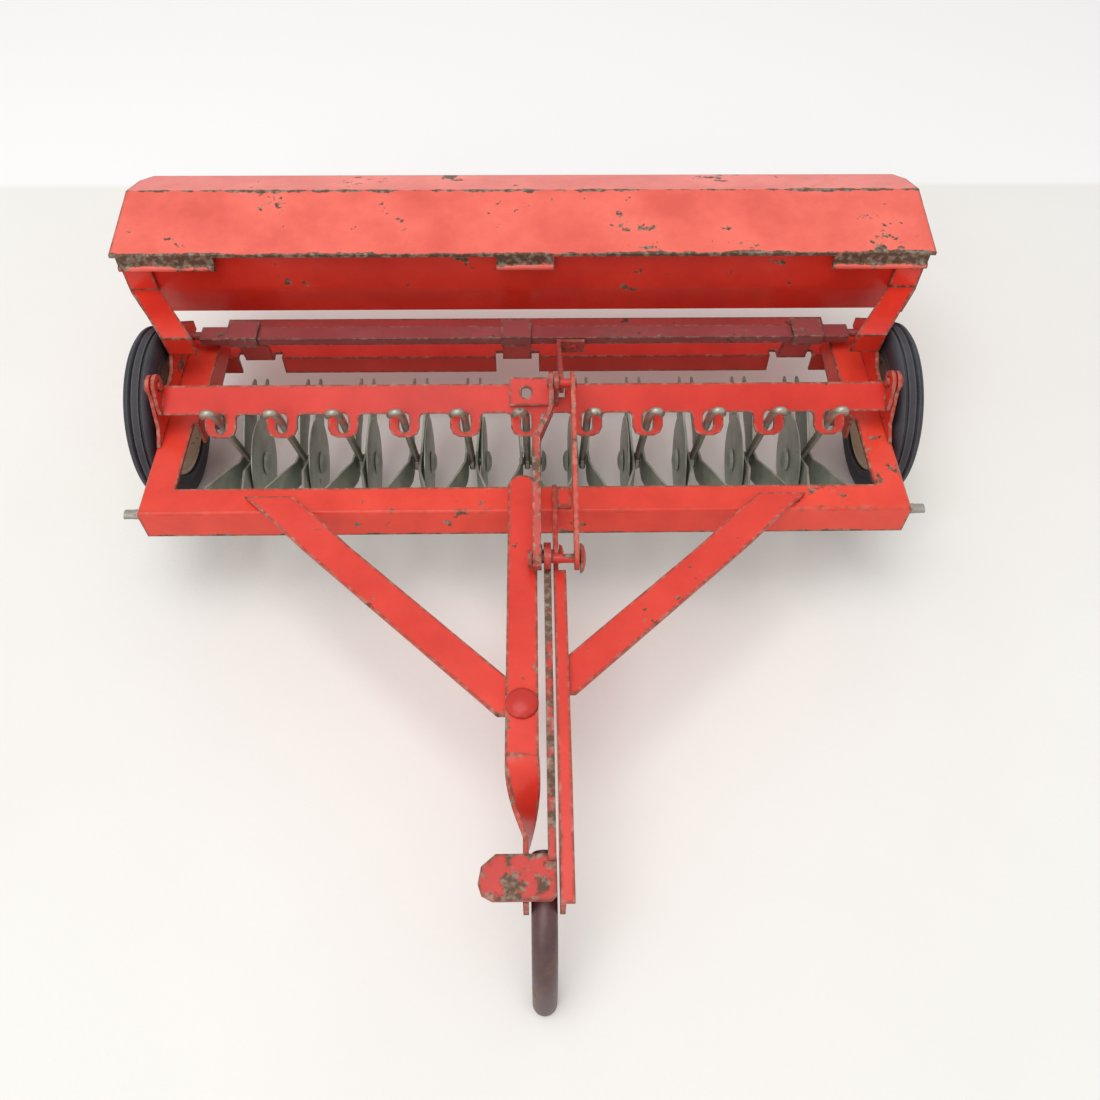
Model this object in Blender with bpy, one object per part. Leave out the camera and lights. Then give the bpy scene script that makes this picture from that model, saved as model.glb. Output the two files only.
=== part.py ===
"""Pressed-steel toy grain drill: hopper over a row of eleven disc openers, with a tongue and a lift lever.

Sizes are in millimetres and are turned into metres when a mesh is made. X runs across the drill, Y from the
hitch to the back, Z up. The wheel axles lie on Y = 0 of the bench frame; the whole drill is then moved along
Y so that the origin is under the middle of its box.
"""

import math

import bmesh
import bpy
from mathutils import Matrix, Vector

MM = 0.001
GAP = 0.3            # clearance between pieces that lie face to face
SHEET = 1.0          # pressed sheet
STRAP = 1.2          # flat strap of the tongue and links

# Frame pressing
FRAME_HALF = 103.6
FRAME_TOP = 37.4
FRAME_DROP = 9.9
FRAME_FRONT = -47.8
CHANNEL_DEPTH = 8.5
ARM_WIDTH = 8.5
ARM_REAR = 24.0
REAR_ARM_EXTRA = 1.2
EAR_RADIUS = 5.0

# Wheels
WHEEL_R = 26.2
TYRE_WIDTH = 7.9
TYRE_SIDE_GAP = 0.9
RIM_R = 18.6
AXLE_R = 2.0
AXLE_HEAD_R = 3.7

# Openers
UNITS = 11
PITCH = 16.95
ROD_R = 1.5
ROD_Y = -43.2
ROD_Z = 31.5
ROD_OVERHANG = 6.0
HUB_Y = -10.0
HUB_Z = 14.6
HUB_PIN_R = 1.2
DISC_R = 13.8
DISC_THICK = 0.9
YOKE_SHEET = 0.7
YOKE_APEX = 1.3      # inner face of a yoke plate from the unit's middle, at the hub
YOKE_MID = 2.2       # the same, a third of the way forward
YOKE_FRONT = 7.4     # the same, at the pivot rod
FIN_BULGE = 2.2
FIN_TIP = 1.6
CAP_R = 3.6
WIRE_R = 1.1

# Lift bar
BAR_HALF = 101.6
BAR_TILT = math.radians(51.0)
BAR_TOP_Y = -12.3
BAR_TOP_Z = 49.6
BAR_BAND = 8.1
BAR_DEPTH = 14.6
TAB_WIDTH = 8.5
SLOT_WIDTH = 2.9
SLOT_LENGTH = 5.5
SLOT_AT = 10.6
BAR_PIVOT_OUT = 2.6
BAR_PIN_R = 1.2

# Tongue
TONGUE_X = 3.6       # middle of the hook and lever
STRAP_HALF = 3.8
STRAP_X = -1.1
TONGUE_FRONT = -149.0
STRAP_REAR = -36.4
TWIST_START = -118.0
TWIST_END = -135.5
BLADE_DEPTH = 9.0
RIVET_Y = -105.4
HOOK_R = 2.9
HOOK_TIP_Y = -161.6
LEG_X = 7.5          # middle of the right drawbar's leg

# Lift lever and links
LINK_ARM_Y = -5.0    # both crank arms of the lift linkage are this vector
LINK_ARM_Z = 5.0
LEVER_PIVOT_Y = -62.4
LEVER_PIVOT_Z = 38.0
LEVER_X = 5.3
LEVER_THICK = 1.8
PADDLE_WIDTH = 16.4
PADDLE_DEPTH = 9.6
LINK_X = 12.6
CENTRE_LINK_X = 2.7

# Hopper
HOPPER_HALF = 119.2
HOPPER_FRONT = 28.6
HOPPER_TOP = 62.6
HOPPER_KNEE = 50.5
HOPPER_BOTTOM = 37.6
HOPPER_REAR = 68.0
END_FLANGE = 8.5
LID_HALF = 120.65
LID_FRONT_Y = 28.0
LID_FRONT_Z = 63.3
RIDGE_Y = 53.3
RIDGE_Z = 67.1
LID_REAR_Y = 70.5
LID_REAR_Z = 61.2
LID_TAB_DROP = 5.0
LID_HINGE_Z = 61.8

# Rear tube and foot board
TUBE_HALF = 97.8
TUBE_SIDE = 5.6
TUBE_RISE = 5.2      # top of the tube above the frame
TUBE_THICK = 2.4
TUBE_Y = 17.0
FOOT_HALF = 98.0
FOOT_TOP = 27.0
FOOT_FRONT = 23.5
FOOT_REAR = 42.0
FOOT_DROP = 6.5
FOOT_STRAPS = (-85.0, -3.0, 85.0)
STRAP_WIDTH = 9.0

AXLE_Z = WHEEL_R
Y_SHIFT = -(HOOK_TIP_Y - HOOK_R + LID_REAR_Y) / 2.0

COLOURS = {
    "red_paint": ((0.62, 0.035, 0.02), 0.4, 0.0),
    "grey_paint": ((0.24, 0.25, 0.20), 0.6, 0.0),
    "bare_steel": ((0.33, 0.31, 0.28), 0.5, 0.7),
    "dark_steel": ((0.10, 0.06, 0.06), 0.5, 0.6),
    "cream_paint": ((0.72, 0.66, 0.52), 0.5, 0.0),
    "rubber": ((0.03, 0.03, 0.035), 0.85, 0.0),
}


# ---------------------------------------------------------------- mesh helpers
def hull(points):
    """A convex solid round the points."""
    bm = bmesh.new()
    for point in points:
        bm.verts.new(point)
    result = bmesh.ops.convex_hull(bm, input=bm.verts)
    bmesh.ops.delete(bm, geom=list(set(result["geom_interior"]) | set(result["geom_unused"])),
                     context="VERTS")
    return bm


def box(x0, x1, y0, y1, z0, z1):
    return hull([(x, y, z) for x in (x0, x1) for y in (y0, y1) for z in (z0, z1)])


def prism(outline, start, end, place):
    """A flat outline extruded: place(a, b, c) turns outline (a, b) and depth c into a point."""
    bm = bmesh.new()
    face = bm.faces.new([bm.verts.new(place(a, b, start)) for a, b in outline])
    extruded = bmesh.ops.extrude_face_region(bm, geom=[face])
    moved = Vector(place(0.0, 0.0, end)) - Vector(place(0.0, 0.0, start))
    for vert in [item for item in extruded["geom"] if isinstance(item, bmesh.types.BMVert)]:
        vert.co += moved
    bmesh.ops.recalc_face_normals(bm, faces=bm.faces)
    return bm


def side_plate(outline_yz, x0, x1):
    return prism(outline_yz, x0, x1, lambda y, z, x: (x, y, z))


def flat_plate(outline_xy, z0, z1):
    return prism(outline_xy, z0, z1, lambda x, y, z: (x, y, z))


def rod(start, end, radius, sides=16, end_radius=None):
    """A round bar, or a cone, between two points."""
    start, end = Vector(start), Vector(end)
    bm = bmesh.new()
    bmesh.ops.create_cone(bm, cap_ends=True, segments=sides, radius1=radius,
                          radius2=radius if end_radius is None else end_radius, depth=(end - start).length)
    turn = (end - start).to_track_quat("Z", "Y").to_matrix().to_4x4()
    bmesh.ops.transform(bm, matrix=Matrix.Translation((start + end) / 2.0) @ turn, verts=bm.verts)
    return bm


def ring(x0, x1, y, z, outer, inner, sides):
    """A washer-like ring whose axis is along X."""
    bm = bmesh.new()
    loops = []
    for x, radius in ((x0, outer), (x1, outer), (x1, inner), (x0, inner)):
        angles = [2.0 * math.pi * k / sides for k in range(sides)]
        loops.append([bm.verts.new((x, y + radius * math.cos(a), z + radius * math.sin(a))) for a in angles])
    for here, there in zip(loops, loops[1:] + loops[:1]):
        for k in range(sides):
            bm.faces.new((here[k], here[(k + 1) % sides], there[(k + 1) % sides], there[k]))
    bmesh.ops.recalc_face_normals(bm, faces=bm.faces)
    return bm


def ribbon(stations):
    """A bar through square stations, each four points in the same order."""
    bm = bmesh.new()
    rows = [[bm.verts.new(point) for point in station] for station in stations]
    for here, there in zip(rows, rows[1:]):
        for k in range(4):
            bm.faces.new((here[k], here[(k + 1) % 4], there[(k + 1) % 4], there[k]))
    bm.faces.new(rows[0])
    bm.faces.new(rows[-1])
    bmesh.ops.recalc_face_normals(bm, faces=bm.faces)
    return bm


def swept(path, radius, sides=8):
    """A round wire along a path that has no sharp turns back."""
    points = [Vector(point) for point in path]
    bm = bmesh.new()
    rows = []
    for index, point in enumerate(points):
        ahead = points[min(index + 1, len(points) - 1)] - points[max(index - 1, 0)]
        turn = ahead.to_track_quat("Z", "Y").to_matrix()
        angles = [2.0 * math.pi * k / sides for k in range(sides)]
        rows.append([bm.verts.new(point + turn @ Vector((radius * math.cos(a), radius * math.sin(a), 0.0)))
                     for a in angles])
    for here, there in zip(rows, rows[1:]):
        start = min(range(sides), key=lambda k: (there[k].co - here[0].co).length)
        for k in range(sides):
            bm.faces.new((here[k], here[(k + 1) % sides], there[(start + k + 1) % sides],
                          there[(start + k) % sides]))
    bm.faces.new(rows[0])
    bm.faces.new(rows[-1])
    bmesh.ops.recalc_face_normals(bm, faces=bm.faces)
    return bm


def as_object(bm, name="helper"):
    mesh = bpy.data.meshes.new(name)
    bmesh.ops.triangulate(bm, faces=bm.faces)
    bm.to_mesh(mesh)
    bm.free()
    obj = bpy.data.objects.new(name, mesh)
    bpy.context.scene.collection.objects.link(obj)
    return obj


def combine(body, others, operation):
    """Joins or cuts body with each of the others, exactly, and drops the helpers."""
    for other in others:
        helper = as_object(other)
        modifier = body.modifiers.new(operation, "BOOLEAN")
        modifier.operation = operation
        modifier.solver = "EXACT"
        modifier.object = helper
        mesh = bpy.data.meshes.new_from_object(body.evaluated_get(bpy.context.evaluated_depsgraph_get()))
        body.modifiers.clear()
        body.data = mesh
        bpy.data.objects.remove(helper)
    return body


def node(name, colour, parts, cuts=(), origin=(0.0, 0.0, 0.0)):
    """One named piece: its solids joined, its holes cut, its own origin, in metres."""
    obj = combine(combine(as_object(parts[0], name), parts[1:], "UNION"), cuts, "DIFFERENCE")
    obj.data.transform(Matrix.Scale(MM, 4) @ Matrix.Translation(-Vector(origin)))
    return finish(obj, name, colour, origin)


def finish(obj, name, colour, origin):
    obj.name = name
    obj.location = (Vector(origin) + Vector((0.0, Y_SHIFT, 0.0))) * MM
    shade, roughness, metallic = COLOURS[colour]
    material = bpy.data.materials.new(name + "_finish")
    material.use_nodes = True
    shader = material.node_tree.nodes["Principled BSDF"]
    shader.inputs["Base Color"].default_value = (*shade, 1.0)
    shader.inputs["Roughness"].default_value = roughness
    shader.inputs["Metallic"].default_value = metallic
    obj.data.materials.clear()
    obj.data.materials.append(material)
    obj.data.shade_smooth()
    obj.data.set_sharp_from_angle(angle=math.radians(35.0))
    return obj


def bar_point(x, down, out):
    """A point of the lift bar: down its face from the top edge, and out from its middle plane."""
    y = BAR_TOP_Y - down * math.sin(BAR_TILT) - out * math.cos(BAR_TILT)
    z = BAR_TOP_Z - down * math.cos(BAR_TILT) + out * math.sin(BAR_TILT)
    return x, y, z


def bar_box(x0, x1, down0, down1, out0, out1):
    return hull([bar_point(x, d, o) for x in (x0, x1) for d in (down0, down1) for o in (out0, out1)])


def arc(y, z, radius, first, last, steps):
    """Points on a circle in the YZ plane, in degrees from +Y towards +Z."""
    angles = [math.radians(first + (last - first) * k / steps) for k in range(steps + 1)]
    return [(y + radius * math.cos(a), z + radius * math.sin(a)) for a in angles]


for old in list(bpy.data.objects):
    bpy.data.objects.remove(old)

_, BAR_PIVOT_Y, BAR_PIVOT_Z = bar_point(0.0, 0.3, BAR_PIVOT_OUT)
LINK_REAR = (BAR_PIVOT_Y + LINK_ARM_Y, BAR_PIVOT_Z + LINK_ARM_Z)
LINK_FRONT = (LEVER_PIVOT_Y + LINK_ARM_Y, LEVER_PIVOT_Z + LINK_ARM_Z)
ROD_AXIS = (0.0, ROD_Y, ROD_Z)
BAR_AXIS = (0.0, BAR_PIVOT_Y, BAR_PIVOT_Z)
CHANNEL_TOP = FRAME_TOP + GAP          # underside of what rests on the frame


# ---------------------------------------------------------------- frame pressing
def frame_side(side):
    """One side arm: top sheet, outer flange, and the deeper rear part that carries the axle."""
    def across(a, b):
        return sorted((side * a, side * b))

    inner = FRAME_HALF - ARM_WIDTH
    rear_inner = inner - REAR_ARM_EXTRA - GAP
    flange_foot = FRAME_TOP - FRAME_DROP
    ear = arc(0.0, AXLE_Z, EAR_RADIUS, -175.0, -5.0, 12)
    outer_ear = [(-12.0, flange_foot), (-EAR_RADIUS, AXLE_Z + 0.6)] + ear + [(EAR_RADIUS, AXLE_Z + 0.6),
                                                                            (12.0, flange_foot),
                                                                            (12.0, flange_foot + 3.0),
                                                                            (-12.0, flange_foot + 3.0)]
    inner_flange = [(-15.0, FRAME_TOP - 0.5), (-15.0, flange_foot + 1.9), (-10.0, flange_foot + 1.5),
                    (-EAR_RADIUS, AXLE_Z + 0.6)] + ear + [(EAR_RADIUS, AXLE_Z + 0.6),
                                                          (10.0, flange_foot + 1.5),
                                                          (ARM_REAR, flange_foot + 1.9),
                                                          (ARM_REAR, FRAME_TOP - 0.5)]
    return [
        box(*across(inner, FRAME_HALF), FRAME_FRONT, ARM_REAR, FRAME_TOP - SHEET, FRAME_TOP),
        box(*across(rear_inner, inner + 1.0), -15.0, ARM_REAR, FRAME_TOP - SHEET, FRAME_TOP),
        box(*across(FRAME_HALF - SHEET, FRAME_HALF), FRAME_FRONT, ARM_REAR, flange_foot, FRAME_TOP - 0.2),
        side_plate(outer_ear, *across(FRAME_HALF - SHEET, FRAME_HALF)),
        side_plate(inner_flange, *across(rear_inner, rear_inner + SHEET)),
    ]


frame_parts = [box(-FRAME_HALF, FRAME_HALF, FRAME_FRONT, FRAME_FRONT + CHANNEL_DEPTH, FRAME_TOP - SHEET,
                   FRAME_TOP),
               box(-FRAME_HALF, FRAME_HALF, FRAME_FRONT, FRAME_FRONT + SHEET, FRAME_TOP - FRAME_DROP,
                   FRAME_TOP - 0.2)]
frame_parts += frame_side(-1.0) + frame_side(1.0)
frame_cuts = [rod((-FRAME_HALF - 5.0, 0.0, AXLE_Z), (FRAME_HALF + 5.0, 0.0, AXLE_Z), AXLE_R + GAP, 24),
              rod((-FRAME_HALF - 5.0, ROD_Y, ROD_Z), (FRAME_HALF + 5.0, ROD_Y, ROD_Z), ROD_R + GAP, 20)]
node("main_frame", "red_paint", frame_parts, frame_cuts)

rod_half = FRAME_HALF + ROD_OVERHANG
node("opener_pivot_rod", "bare_steel", [rod((-rod_half, ROD_Y, ROD_Z), (rod_half, ROD_Y, ROD_Z), ROD_R, 20)],
     origin=ROD_AXIS)

# ---------------------------------------------------------------- openers
YOKE = (
    # Y, lowest Z, highest Z, inner face from the middle
    (ROD_Y - 3.15, ROD_Z - 0.5, ROD_Z + 0.5, YOKE_FRONT),
    (ROD_Y - 2.6, ROD_Z - 1.9, ROD_Z + 1.9, YOKE_FRONT),
    (ROD_Y - 1.5, ROD_Z - 2.9, ROD_Z + 2.9, YOKE_FRONT),
    (ROD_Y, ROD_Z - 3.3, ROD_Z + 3.2, YOKE_FRONT),
    (ROD_Y + 4.5, ROD_Z - 5.5, ROD_Z + 2.0, YOKE_FRONT - 1.3),
    (HUB_Y - 13.0, HUB_Z + 0.9, HUB_Z + 11.4, YOKE_MID),
    (HUB_Y - 5.0, HUB_Z - 3.6, HUB_Z + 5.9, YOKE_APEX + 0.1),
    (HUB_Y, HUB_Z - 5.0, HUB_Z + 4.4, YOKE_APEX),
    (HUB_Y + 6.0, HUB_Z - 4.6, HUB_Z + 7.0, YOKE_APEX + 0.4),
    (HUB_Y + 14.0, HUB_Z - 3.1, HUB_Z + 10.0, FIN_BULGE),
    (HUB_Y + 19.0, HUB_Z - 0.8, HUB_Z + 9.4, FIN_BULGE - 0.3),
    (HUB_Y + 28.4, HUB_Z + 7.0, HUB_Z + 8.2, FIN_TIP),
)
DISC_IN = YOKE_APEX + YOKE_SHEET + 1.3
CAP_IN = DISC_IN + DISC_THICK + GAP


def yoke_plate(side, middle):
    stations = []
    for y, low, high, inside in YOKE:
        a, b = middle + side * inside, middle + side * (inside + YOKE_SHEET)
        stations.append([(a, y, low), (b, y, low), (b, y, high), (a, y, high)])
    return ribbon(stations)


def dome(x, direction, y, z, radius, height, sides=14):
    """A low round head whose flat back is at x."""
    rim = [(x, y + radius * math.cos(a), z + radius * math.sin(a))
           for a in [2.0 * math.pi * k / sides for k in range(sides)]]
    belt = [(x + direction * height * 0.65, y + 0.82 * (p[1] - y), z + 0.82 * (p[2] - z)) for p in rim]
    crown = [(x + direction * height, y + 0.4 * (p[1] - y), z + 0.4 * (p[2] - z)) for p in rim]
    return hull(rim + belt + crown)


def opener_arm(name, middle, hand):
    parts = [yoke_plate(-1.0, middle), yoke_plate(1.0, middle),
             rod((middle - hand * (YOKE_APEX + YOKE_SHEET + 0.5), HUB_Y, HUB_Z),
                 (middle + hand * (CAP_IN + 0.4), HUB_Y, HUB_Z), HUB_PIN_R, 16),
             dome(middle + hand * CAP_IN, hand, HUB_Y, HUB_Z, CAP_R, 1.4)]
    cut = rod((middle - 12.0, ROD_Y, ROD_Z), (middle + 12.0, ROD_Y, ROD_Z), ROD_R + GAP, 16)
    return node(name, "grey_paint", parts, [cut], (middle, ROD_Y, ROD_Z))


def opener_disc(name, middle, hand):
    a, b = sorted((middle + hand * DISC_IN, middle + hand * (DISC_IN + DISC_THICK)))
    return node(name, "bare_steel", [ring(a, b, HUB_Y, HUB_Z, DISC_R, HUB_PIN_R + GAP, 32)],
                origin=(middle, HUB_Y, HUB_Z))


SLOT_CENTRE = bar_point(0.0, SLOT_AT, 0.0)
WIRE_RUN = Vector((SLOT_CENTRE[1] - HUB_Y, SLOT_CENTRE[2] - HUB_Z)).normalized()


def hanger(name, middle, hook):
    """A wire from an eye on the hub pin up through the bar's slot, bent over sideways at the top."""
    path = [(0.0, 2.2), (0.0, 12.0), (0.0, 24.0), (0.0, 34.6), (0.4, 36.2), (1.4, 37.2), (2.5, 36.9),
            (3.2, 35.5)]
    points = [(middle + hook * x, HUB_Y + run * WIRE_RUN[0], HUB_Z + run * WIRE_RUN[1]) for x, run in path]
    eye = ring(middle - 0.9, middle + 0.9, HUB_Y, HUB_Z, 2.6, HUB_PIN_R + GAP, 16)
    return node(name, "bare_steel", [swept(points, WIRE_R, 8), eye], origin=(middle, HUB_Y, HUB_Z))


for unit in range(1, UNITS + 1):
    x_unit = (unit - (UNITS + 1) / 2.0) * PITCH
    facing = 1.0 if unit <= (UNITS + 1) // 2 else -1.0
    opener_arm("opener_arm_%02d" % unit, x_unit, facing)
    opener_disc("opener_disc_%02d" % unit, x_unit, facing)
    hanger("hanger_%02d" % unit, x_unit, -facing)


# ---------------------------------------------------------------- lift bar
def bar_outline():
    """The bar's face as (x, down): a straight top, and eleven round-cornered tabs below."""
    points = [(BAR_HALF - 0.6, 0.0), (BAR_HALF - 0.6, BAR_BAND)]
    half = TAB_WIDTH / 2.0
    for index in range(UNITS - 1, -1, -1):
        x = (index - (UNITS - 1) / 2.0) * PITCH
        for side in (1.0, -1.0):
            corner = [(x + side * (half + 1.2), BAR_BAND), (x + side * (half + 0.3), BAR_BAND + 0.4),
                      (x + side * half, BAR_BAND + 1.4), (x + side * half, BAR_DEPTH - 2.6),
                      (x + side * (half - 0.8), BAR_DEPTH - 0.8), (x + side * (half - 2.6), BAR_DEPTH)]
            points += corner if side > 0 else corner[::-1]
    return points + [(-BAR_HALF + 0.6, BAR_BAND), (-BAR_HALF + 0.6, 0.0)]


def bar_flange(side):
    a, b = sorted((side * (BAR_HALF - SHEET), side * BAR_HALF))
    round_end = [(0.3 + 3.2 * math.cos(t), BAR_PIVOT_OUT + 3.2 * math.sin(t))
                 for t in [2.0 * math.pi * k / 24 for k in range(24)]]
    base = [(0.0, -0.5), (BAR_BAND, -0.5), (BAR_BAND, 1.0), (BAR_BAND - 2.0, 3.0)]
    return hull([bar_point(x, d, o) for x in (a, b) for d, o in round_end + base])


def bar_slot(x):
    flat = (SLOT_LENGTH - SLOT_WIDTH) / 2.0
    ends = [rod(bar_point(x, SLOT_AT + shift, -2.0), bar_point(x, SLOT_AT + shift, 2.0), SLOT_WIDTH / 2.0,
                12)
            for shift in (-flat, flat)]
    points = [vert.co.copy() for bm in ends for vert in bm.verts]
    for bm in ends:
        bm.free()
    return hull(points)


SUPPORT_IN = 9.2     # left face of the support arm; the bracket's ear and a link lie left of it
EAR_IN = SUPPORT_IN - GAP - STRAP
bar_parts = [prism(bar_outline(), -0.5, 0.5, bar_point), bar_flange(-1.0), bar_flange(1.0)]
bar_cuts = [bar_slot((k - (UNITS - 1) / 2.0) * PITCH) for k in range(UNITS)]
bar_cuts += [rod((-BAR_HALF - 5.0, BAR_PIVOT_Y, BAR_PIVOT_Z), (-BAR_HALF + 3.0, BAR_PIVOT_Y, BAR_PIVOT_Z),
                 BAR_PIN_R + GAP, 20),
             rod((BAR_HALF - 3.0, BAR_PIVOT_Y, BAR_PIVOT_Z), (BAR_HALF + 5.0, BAR_PIVOT_Y, BAR_PIVOT_Z),
                 BAR_PIN_R + GAP, 20),
             bar_box(SUPPORT_IN - 0.4, SUPPORT_IN + STRAP + 0.4, -2.0, 3.8, -2.0, 0.9),
             rod(bar_point(0.0, 2.6, -2.0), bar_point(0.0, 2.6, 3.0), 1.5, 16)]
node("lift_bar", "red_paint", bar_parts, bar_cuts, BAR_AXIS)

ear_points = [(0.3 + 2.9 * math.cos(t), BAR_PIVOT_OUT + 2.9 * math.sin(t) + 0.6) for t in
              [math.pi * k / 12 for k in range(24)]]
link_down = (BAR_TOP_Y - LINK_REAR[0]) * math.sin(BAR_TILT) + (BAR_TOP_Z - LINK_REAR[1]) * math.cos(BAR_TILT)
link_out = (BAR_TOP_Y - LINK_REAR[0]) * math.cos(BAR_TILT) - (BAR_TOP_Z - LINK_REAR[1]) * math.sin(BAR_TILT)
ear_points = [(d, max(o, 0.8)) for d, o in ear_points]
ear_points += [(link_down + 2.6 * math.cos(t), link_out + 2.6 * math.sin(t)) for t in
               [math.pi * k / 12 for k in range(24)]]
ear_points += [(-1.6, 0.8), (6.2, 0.8), (6.2, 1.8)]
bracket_parts = [bar_box(-4.6, EAR_IN + 0.4, -1.6, 6.2, 0.5 + GAP, 1.5 + GAP),
                 hull([bar_point(x, d, o) for x in (EAR_IN, EAR_IN + STRAP) for d, o in ear_points]),
                 rod((EAR_IN - 1.9, *LINK_REAR), (LINK_X + 1.1, *LINK_REAR), BAR_PIN_R, 16)]
bracket_cuts = [rod((EAR_IN - 1.2, BAR_PIVOT_Y, BAR_PIVOT_Z), (EAR_IN + 3.0, BAR_PIVOT_Y, BAR_PIVOT_Z),
                    BAR_PIN_R + GAP, 20),
                rod(bar_point(0.0, 2.6, 0.0), bar_point(0.0, 2.6, 4.0), 1.5, 16)]
node("bar_bracket", "red_paint", bracket_parts, bracket_cuts, BAR_AXIS)

# ---------------------------------------------------------------- support arm and rear tube
tube_front, tube_rear = TUBE_Y - TUBE_SIDE / 2.0, TUBE_Y + TUBE_SIDE / 2.0
tube_top = CHANNEL_TOP + TUBE_RISE
tube_mid = tube_top - TUBE_THICK / 2.0
slope = math.degrees(math.atan2(tube_mid - BAR_PIVOT_Z, tube_front - BAR_PIVOT_Y))
support = arc(BAR_PIVOT_Y, BAR_PIVOT_Z, 2.6, slope + 90.0, slope + 270.0, 10)
support += [(tube_front - GAP - 1.0, CHANNEL_TOP + 0.5), (tube_front - GAP, CHANNEL_TOP + 0.5),
            (tube_front - GAP, tube_top - 0.3), (tube_front - GAP - 1.0, tube_top - 0.3)]
node("support_arm", "red_paint",
     [side_plate(support, SUPPORT_IN, SUPPORT_IN + STRAP),
      box(SUPPORT_IN, SUPPORT_IN + 8.4, tube_front - GAP - 1.0, tube_front - GAP, CHANNEL_TOP + 0.5,
          tube_top - 0.3),
      rod((EAR_IN - 0.5, BAR_PIVOT_Y, BAR_PIVOT_Z), (SUPPORT_IN + STRAP + 0.6, BAR_PIVOT_Y, BAR_PIVOT_Z),
          BAR_PIN_R, 16)],
     [rod((SUPPORT_IN + 5.0, tube_front - 4.0, CHANNEL_TOP + 2.6),
          (SUPPORT_IN + 5.0, tube_front, CHANNEL_TOP + 2.6), 1.0, 12)])

tube_end = TUBE_HALF + 4.1
node("cross_tube", "red_paint",
     [box(-TUBE_HALF, TUBE_HALF, tube_front, tube_rear, tube_top - TUBE_THICK, tube_top),
      rod((-tube_end, TUBE_Y, tube_mid), (tube_end, TUBE_Y, tube_mid), 1.1, 16)])


# ---------------------------------------------------------------- foot board
def foot_strap(x):
    """A strap from the board's front edge, up behind the tube and over it."""
    rear = tube_rear + GAP
    line = [((FOOT_FRONT + 0.2, FOOT_TOP - 0.8), (FOOT_FRONT + 1.2, FOOT_TOP - 0.2)),
            ((rear + 0.9, CHANNEL_TOP - 4.0), (rear + 1.9, CHANNEL_TOP - 3.6)),
            ((rear, CHANNEL_TOP - 0.5), (rear + 1.0, CHANNEL_TOP - 0.3)),
            ((rear, tube_top + GAP), (rear + 1.0, tube_top + GAP + 1.0)),
            ((tube_front - GAP, tube_top + GAP), (tube_front - GAP - 1.0, tube_top + GAP + 1.0)),
            ((tube_front - GAP, tube_top - 2.0), (tube_front - GAP - 1.0, tube_top - 2.0))]
    a, b = x - STRAP_WIDTH / 2.0, x + STRAP_WIDTH / 2.0
    return ribbon([[(a, *inner), (b, *inner), (b, *outer), (a, *outer)] for inner, outer in line])


board_foot = FOOT_TOP - FOOT_DROP
foot_cuts = []
for x in FOOT_STRAPS:
    for side in (-1.0, 1.0):
        a = x + side * (STRAP_WIDTH / 2.0 + 0.1)
        b = a + side * 2.3
        foot_cuts.append(box(min(a, b), max(a, b), FOOT_FRONT - 1.0, FOOT_FRONT + 2.6, FOOT_TOP - 3.0,
                             FOOT_TOP + 2.0))
    half = STRAP_WIDTH / 2.0 + 2.4
    foot_cuts.append(box(x - half, x + half, FOOT_FRONT - 1.0, FOOT_FRONT + 2.6, board_foot - 1.0,
                         FOOT_TOP - SHEET))
node("footboard", "red_paint",
     [box(-FOOT_HALF, FOOT_HALF, FOOT_FRONT, FOOT_REAR, FOOT_TOP - SHEET, FOOT_TOP),
      box(-FOOT_HALF, FOOT_HALF, FOOT_FRONT, FOOT_FRONT + SHEET, board_foot, FOOT_TOP - 0.2),
      box(-FOOT_HALF, FOOT_HALF, FOOT_REAR - SHEET, FOOT_REAR, board_foot, FOOT_TOP - 0.2)]
     + [foot_strap(x) for x in FOOT_STRAPS], foot_cuts)

# ---------------------------------------------------------------- hopper, end plates and lid
body_front = HOPPER_FRONT + 0.9
rear_top = HOPPER_TOP - 2.4
trough = [(body_front, HOPPER_TOP - 0.3), (body_front, HOPPER_KNEE - 1.5),
          (body_front + 3.0, HOPPER_BOTTOM + 0.9),
          (45.0, HOPPER_BOTTOM - 1.4), (HOPPER_REAR, rear_top), (HOPPER_REAR - 0.8, rear_top + 0.4),
          (44.6, HOPPER_BOTTOM - 0.4), (body_front + 3.8, HOPPER_BOTTOM + 1.7),
          (body_front + 1.0, HOPPER_KNEE - 1.4),
          (body_front + 1.0, HOPPER_TOP - 0.3)]
body_half = HOPPER_HALF - SHEET - GAP
node("hopper_body", "red_paint", [side_plate(trough, -body_half, body_half)])


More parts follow.
